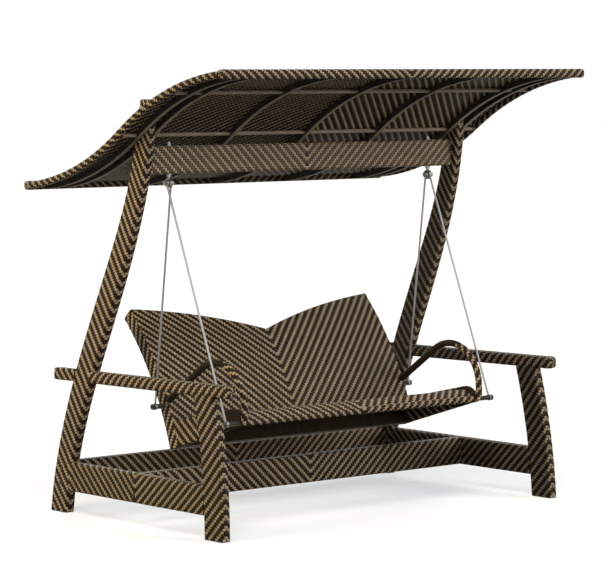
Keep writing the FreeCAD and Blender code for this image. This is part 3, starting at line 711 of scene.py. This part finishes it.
for name, side in (("left_canopy_side_edge", -1), ("right_canopy_side_edge", 1)):
    stations = []
    for share in steps(-1.0, 1.0, 28):
        spot, up = canopy_spot(side * (canopy_half - edge_bar / 2), canopy_reach * share, 0)
        stations.append(section(spot, up, x_way, edge_bar, edge_bar))
    guide = sleeve(stations, side_bar_corner)
    woven(name + "_wicker", *guide, "frame", [name], lean=float(-side), closed=True)


# Canopy skin. One woven sheet hangs on the ribs from bar to bar; its herringbone meets over the
# middle rib, on the top and on the underside alike.
def sheet(grid, marks, upwards):
    """A guide surface from a grid of points, with its map in weave cells."""
    columns = len(grid[0])
    points = [point for row in grid for point in row]
    faces = []
    cells = []
    for r in range(len(grid) - 1):
        for c in range(columns - 1):
            corners = [(r, c), (r, c + 1), (r + 1, c + 1), (r + 1, c)]
            if not upwards:
                corners.reverse()
            faces.append(tuple(i * columns + j for i, j in corners))
            cells.append([marks[i][j] for i, j in corners])
    return points, faces, cells


skin_half = canopy_half - edge_bar
skin_top = 0.013
skin_under = 0.007
skin_rows = [canopy_reach * share for share in steps(-1.0, 1.0, 40)]
skin_strands = round(skin_half / cell)
for face_name, lift, upwards in (("top", skin_top, True), ("underside", skin_under, False)):
    run = lengths_along([canopy_spot(0, y, lift)[0] for y in skin_rows])
    for side_name, start, turn in (("left", -skin_half, skin_strands), ("right", 0.0, 0)):
        xs = steps(start, start + skin_half, 8)
        grid = [[canopy_spot(x, y, lift)[0] for x in xs] for y in skin_rows]
        marks = [[((x - start) / skin_half * skin_strands, length / cell) for x in xs] for length in run]
        woven("canopy_%s_%s" % (face_name, side_name), *sheet(grid, marks, upwards), skin_strands,
              math.floor(run[-1] / cell), "frame", ["canopy_skin"], turn=turn)


# Bench back. A curved panel on tubes, woven on both faces, with two wings whose crests dip to a
# notch in the middle; a woven band closes its rim, and its foot under the seat is woven in dark
# strips only as painted shade.
bench_half = 0.707
back_foot = (0.048, 0.318)
back_corner = (0.395, 0.905)
back_bow = 0.040
back_thick = 0.066
notch_drop = 0.161
wing_bow = 0.022
back_chord = math.hypot(back_corner[0] - back_foot[0], back_corner[1] - back_foot[1])
back_bend = back_chord ** 2 / (8 * back_bow) + back_bow / 2
back_half_turn = math.asin(back_chord / (2 * back_bend))
back_tilt = math.atan2(back_corner[0] - back_foot[0], back_corner[1] - back_foot[1])
back_low = back_tilt - back_half_turn
back_high = back_tilt + back_half_turn
back_centre = (back_foot[0] + back_bend * math.cos(back_low), back_foot[1] - back_bend * math.sin(back_low))
fold_share = 0.170
fold_turn = back_low + 2 * back_half_turn * fold_share


def back_spot(x, turn, depth):
    """A point at a turn up the back's curve, at a depth behind its front face."""
    reach = back_bend - depth
    return Vector((x, back_centre[0] - reach * math.cos(turn), back_centre[1] + reach * math.sin(turn)))


def crest_turn(x, depth):
    """Where the wings' top line crosses the back, at a depth behind its front face."""
    share = abs(x) / bench_half
    rise = -notch_drop * (1 - share) + 4 * wing_bow * share * (1 - share)
    return back_high + math.asin(rise / (back_bend - depth))


back_columns = [bench_half * share for share in steps(-1.0, 1.0, 32)]
back_strands = 2 * round(bench_half / cell)
# The back's foot under the seat takes dark strips only: painted shade.
for face_name, depth, replaced, foot, crested, paler in (
        ("front", cover_inset, "back_front_weave", fold_turn, True, light_strip),
        ("skirt", cover_inset, "back_front_weave", back_low, False, dark_strip),
        ("rear", back_thick - cover_inset, "back_rear_weave", back_low, True, light_strip)):
    grid = []
    marks = []
    for share in steps(0.0, 1.0, 14):
        row = []
        row_marks = []
        for x in back_columns:
            turn = foot + ((crest_turn(x, depth) if crested else fold_turn) - foot) * share
            row.append(back_spot(x, turn, depth))
            row_marks.append(((x + bench_half) / (2 * bench_half) * back_strands,
                              (turn - foot) * (back_bend - depth) / cell))
        grid.append(row)
        marks.append(row_marks)
    tallest = max(mark[1] for mark in marks[-1])
    woven("back_%s_wicker" % face_name, *sheet(grid, marks, face_name != "rear"), back_strands,
          math.floor(tallest), "bench", [replaced], turn=back_strands // 2, Light=paler)

rim_sides = steps(0.0, 1.0, 12)[:-1]
rim_path = [(-bench_half, share) for share in rim_sides]
rim_path += [(x, 1.0) for x in back_columns]
rim_path += [(bench_half, share) for share in reversed(rim_sides)]
rim_swell = [(0.0, 0.0), (0.004, 0.0025), (0.020, 0.0045), (0.033, 0.005), (0.046, 0.0045), (0.062, 0.0025),
             (0.066, 0.0)]
rim_sink = 0.004
rim_rows = 6
grid = []
for depth, swell in rim_swell:
    row = []
    for x, share in rim_path:
        turn = back_low + (crest_turn(x, depth) - back_low) * share
        spot = back_spot(x, turn, depth)
        if share < 1.0:
            row.append(spot + x_way * (swell - rim_sink) * (1 if x > 0 else -1))
        else:
            row.append(spot + Vector((0, math.sin(turn), math.cos(turn))) * (swell - rim_sink))
    grid.append(row)
run = lengths_along(grid[len(grid) // 2])
strands = round(run[-1] / cell)
marks = [[(length / run[-1] * strands, depth / back_thick * rim_rows) for length in run]
         for depth, swell in rim_swell]
woven("back_rim_wicker", *sheet(grid, marks, True), strands, rim_rows, "bench",
      ["left_wing_tube", "right_wing_tube", "left_back_side_tube", "right_back_side_tube"],
      turn=strands // 2)


# Bench seat. A woven sheet rises from the fold with the back to a rounded front crown and rolls
# down to a wrapped tube, dark on its underside; woven sides close its ends.
seat_slope = math.radians(12.5)
seat_flat = 0.408
seat_sink = 0.016
seat_under = 0.023
seat_tuck = 0.2
crown_bend = 0.065
crown_front = math.radians(80.0)
front_tube = 0.015
front_tube_depth = 0.012
side_thick = 0.030
side_corner = 0.006
side_least = 0.02
side_gap = 0.002
plug_length = 0.055
plug_corner = 0.004
plug_inset = 0.003
fold = back_spot(0, fold_turn, 0)
crown_start = Vector((0, fold.y - seat_flat * math.cos(seat_slope),
                      fold.z + seat_flat * math.sin(seat_slope)))
crown_centre = crown_start - crown_bend * Vector((0, math.sin(seat_slope), math.cos(seat_slope)))


def crown_spot(turn, depth):
    """A point on the seat's rounded front, at a depth under its top line."""
    return crown_centre + (crown_bend - depth) * Vector((0, math.sin(turn), math.cos(turn)))


def seat_line(depth):
    """Points from the front tube up over the crown and back into the fold."""
    line = [crown_spot(turn, depth) for turn in steps(-crown_front, seat_slope, 14)]
    back_way = Vector((0, math.cos(seat_slope), -math.sin(seat_slope)))
    reach = seat_flat - depth * seat_tuck
    return line + [line[-1] + back_way * reach * share for share in steps(0.0, 1.0, 8)[1:]]


seat_half = bench_half - side_thick
seat_strands = 2 * round(seat_half / cell)
xs = [seat_half * share for share in steps(-1.0, 1.0, 16)]
for face_name, depth, upwards, paler in (("top", seat_sink + cover_inset, True, light_strip),
                                         ("underside", seat_under, False, dark_strip)):
    line = seat_line(depth)
    run = lengths_along(line)
    grid = [[spot + x_way * x for x in xs] for spot in line]
    marks = [[((x + seat_half) / (2 * seat_half) * seat_strands, length / cell) for x in xs]
             for length in run]
    woven("seat_%s_wicker" % face_name, *sheet(grid, marks, upwards), seat_strands,
          math.floor(run[-1] / cell), "bench", ["seat_weave"], turn=seat_strands // 2, Light=paler)

front_bar = crown_spot(-crown_front, front_tube_depth)
stations = [section(front_bar + x_way * (bench_half - end_inset) * share, y_way, z_way, 2 * front_tube,
                    2 * front_tube) for share in steps(-1.0, 1.0, 12)]
guide = sleeve(stations, front_tube)
woven("seat_front_tube_wicker", *guide, "bench", ["seat_front_tube"], lean=-1.0, turn=guide[3] // 2,
      closed=True)

heel = back_spot(0, back_low, back_thick / 2)
toe = front_bar - z_way * front_tube
plug_end = crown_centre.y + plug_length
top_line = [(spot.y, spot.z) for spot in seat_line(0.0)]


def side_station(side, y, inset):
    """A section of a seat side, from the line of heel and toe up to the seat's top line."""
    top = between(top_line, y)
    bottom = toe.z + (heel.z - toe.z) * max(0.0, (y - toe.y) / (heel.y - toe.y))
    return (Vector((side * (bench_half - side_thick / 2), y, (top + bottom) / 2)), z_way, x_way,
            max(side_least, top - bottom - 2 * cover_inset), side_thick - 2 * inset)


for name, side in (("left_seat_side", -1), ("right_seat_side", 1)):
    low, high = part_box(name)
    stations = [side_station(side, y, cover_inset) for y in steps(plug_end, high.y - side_gap, 10)]
    woven(name + "_wicker", *sleeve(stations, side_corner), "bench", [name], closed=True)
    stations = [side_station(side, y + side_gap, plug_inset) for y in steps(low.y, plug_end, 10)]
    woven(name + "_plug", *sleeve(stations, plug_corner), "bench", [name], closed=True, Light=dark_strip)


# Bench arms. A tube bent over in a hoop at each end, from the seat's front corner to the back;
# the front of the hoop is woven in both browns, and the run to the back in dark strips only.
hoop_tube = 0.0155
hoop_inset = 0.007
hoop_lead = 0.021
hoop_bend = 0.188
hoop_slope = math.radians(34.5)
hoop_fold_height = 0.116
hoop_joint = 14
hoop_tuck = 0.006
hoop_x = bench_half - hoop_inset
hoop_front = front_bar.y - hoop_lead
hoop_turn = math.pi / 2 + hoop_slope
corner_z = fold.z + hoop_fold_height + (fold.y - hoop_front) * math.tan(hoop_slope)
hoop_centre = Vector((0, hoop_front + hoop_bend, corner_z - hoop_bend * math.tan(hoop_turn / 2)))
hoop_path = [Vector((0, hoop_front, z)) for z in steps(front_bar.z, hoop_centre.z, 3)[:-1]]
hoop_path += [hoop_centre + hoop_bend * Vector((0, -math.cos(turn), math.sin(turn)))
              for turn in steps(0.0, hoop_turn, 18)]
down = Vector((0, math.cos(hoop_slope), -math.sin(hoop_slope)))
for name, side in (("left_seat_arm", -1), ("right_seat_arm", 1)):
    reach = (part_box(name)[1].y - hoop_path[-1].y) / down.y - hoop_tuck
    path = hoop_path + [hoop_path[-1] + down * reach * share for share in steps(0.0, 1.0, 4)[1:]]
    stations = []
    for i, spot in enumerate(path):
        way = (path[min(i + 1, len(path) - 1)] - path[max(i - 1, 0)]).normalized()
        stations.append(section(spot + x_way * side * hoop_x, x_way.cross(way), x_way, 2 * hoop_tube,
                                2 * hoop_tube))
    for part, line, paler in (("hoop", stations[:hoop_joint + 1], light_strip),
                              ("rear", stations[hoop_joint:], dark_strip)):
        woven("%s_%s_wicker" % (name, part), *sleeve(line, hoop_tube), "bench", [name], lean=float(side),
              closed=True, Light=paler)


# Ribs and purlins. Dark painted flat bars follow the canopy's S, and round bars run across them;
# the bench's hidden tubes have the same paint.
# Faces that point further down than this get the painted highlight.
facing_down = -0.6


def painted_metal(name, colour, speck_and_highlight, lit_underside=None):
    """Sprayed paint with faint specks and orange peel; faces that look down get a paler painted highlight."""
    material, tree, shader = new_material(name)
    place = add_node(tree, "ShaderNodeTexCoord").outputs["Object"]
    speck = add_node(tree, "ShaderNodeTexNoise", [("Vector", place), ("Scale", 34.0),
                                                  ("Detail", 5.0)]).outputs[0]
    facing = add_node(tree, "ShaderNodeNewGeometry").outputs["Normal"]
    upward = add_node(tree, "ShaderNodeSeparateXYZ", [(0, facing)]).outputs["Z"]
    # Faces that look down take the paler colour as a painted highlight.
    underside_highlight = add_node(tree, "ShaderNodeMix", [("Factor", wired(tree, "LESS_THAN", upward, facing_down)),
                                           (6, two_tone(tree, speck, colour, speck_and_highlight, places=(0.35, 0.72))),
                                           (7, (lit_underside or speck_and_highlight) + (1.0,))], data_type="RGBA")
    feed(tree, shader, [("Base Color", underside_highlight.outputs[2]),
                        ("Roughness", wired(tree, "MULTIPLY_ADD", speck, 0.25, 0.30))])
    peel = add_node(tree, "ShaderNodeTexNoise", [("Vector", place), ("Scale", 420.0)]).outputs[0]
    grain(tree, shader, peel, strength=0.2, distance=0.0003)
    return material


def finish_nodes(material, *names):
    """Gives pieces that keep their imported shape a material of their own."""
    for name in names:
        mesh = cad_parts[name].data
        mesh.materials.clear()
        mesh.materials.append(material)


# The ribs' down-facing faces get a pale painted highlight.
rib_paint = painted_metal("rib_paint", (0.012, 0.010, 0.008), (0.030, 0.025, 0.021), (0.150, 0.120, 0.092))
finish_nodes(rib_paint, "centre_rib", "left_middle_rib", "right_middle_rib", "inner_post_ribs",
             "outer_post_ribs", "back_centre_tube", "back_foot_tube", "seat_stretchers", "bar_spacers")
purlin_paint = painted_metal("purlin_paint", (0.110, 0.087, 0.066), (0.170, 0.136, 0.104))
finish_nodes(purlin_paint, "lower_purlin", "upper_purlin", "purlin_stubs")


# Hangers and fittings. Bright steel rods hang the bench from eye bolts in the beam; pins, nuts and
# washers are steel too, and the bars under the bench are darker. All have fine drawing marks.
def drawn_steel(name, dull, bright):
    """Steel with fine marks along its length."""
    material, tree, shader = new_material(name)
    place = add_node(tree, "ShaderNodeTexCoord").outputs["Object"]
    draw = add_node(tree, "ShaderNodeMapping", [("Vector", place), ("Scale", (420.0, 420.0, 30.0))])
    scratch = add_node(tree, "ShaderNodeTexNoise", [("Vector", draw.outputs[0]), ("Scale", 1.0),
                                                    ("Detail", 4.0)]).outputs[0]
    feed(tree, shader, [("Metallic", 1.0), ("Base Color", two_tone(tree, scratch, dull, bright)),
                        ("Roughness", wired(tree, "MULTIPLY_ADD", scratch, 0.22, 0.26))])
    grain(tree, shader, scratch, strength=0.15, distance=0.0002)
    return material


bright_steel = drawn_steel("bright_steel", (0.48, 0.47, 0.46), (0.64, 0.63, 0.61))
finish_nodes(bright_steel, "left_eye_bolt", "right_eye_bolt", "eye_bolt_washers", "eye_bolt_nuts",
             "left_front_hanger_rod", "right_front_hanger_rod", "left_rear_hanger_rod",
             "right_rear_hanger_rod", "left_hanger_pin", "right_hanger_pin", "pin_nuts")
dark_steel = drawn_steel("dark_steel", (0.075, 0.073, 0.070), (0.160, 0.155, 0.150))
finish_nodes(dark_steel, "front_hanger_bar", "rear_hanger_bar", "bar_nuts")
bolt_lacquer = painted_metal("bolt_lacquer", (0.030, 0.020, 0.012), (0.070, 0.048, 0.030))
bolt_lacquer.node_tree.nodes["Principled BSDF"].inputs["Metallic"].default_value = 0.6
finish_nodes(bolt_lacquer, "frame_bolts", "canopy_bolts", "canopy_nuts")


# Bushes and glides. Dark nylon liners in the eye bolts, in which the hanger pins turn, and pads of
# the same nylon under the four feet.
nylon = painted_metal("dark_nylon", (0.035, 0.034, 0.033), (0.060, 0.058, 0.055))
finish_nodes(nylon, "eye_bushes", "foot_glides")


# Shade. As with black cards in a studio, the two left lamps are kept off the far side frame, the front
# left lamp off the legs and low rails, and the front right lamp off the left half of the canopy's
# underside.
far_low = ["right_front_leg_left_wicker", "right_front_leg_right_wicker", "right_side_rail_wicker"]
far_high = ["right_rear_post_left_wicker", "right_rear_post_right_wicker", "right_armrest_wicker"]
near_low = ["left_front_leg_left_wicker", "left_front_leg_right_wicker", "left_side_rail_wicker",
            "mid_cross_rail_wicker"]
for name, shaded in (("lamp_left", far_low + far_high), ("lamp_left_near", far_low + far_high),
                     ("lamp_front_left", far_low + near_low),
                     ("lamp_front_right", ["canopy_underside_left"])):
    flag = bpy.data.collections.new(name + "_flag")
    bpy.data.objects[name].light_linking.receiver_collection = flag
    for piece_name in shaded:
        flag.objects.link(bpy.data.objects[piece_name])
        flag.collection_objects[-1].light_linking.link_state = "EXCLUDE"
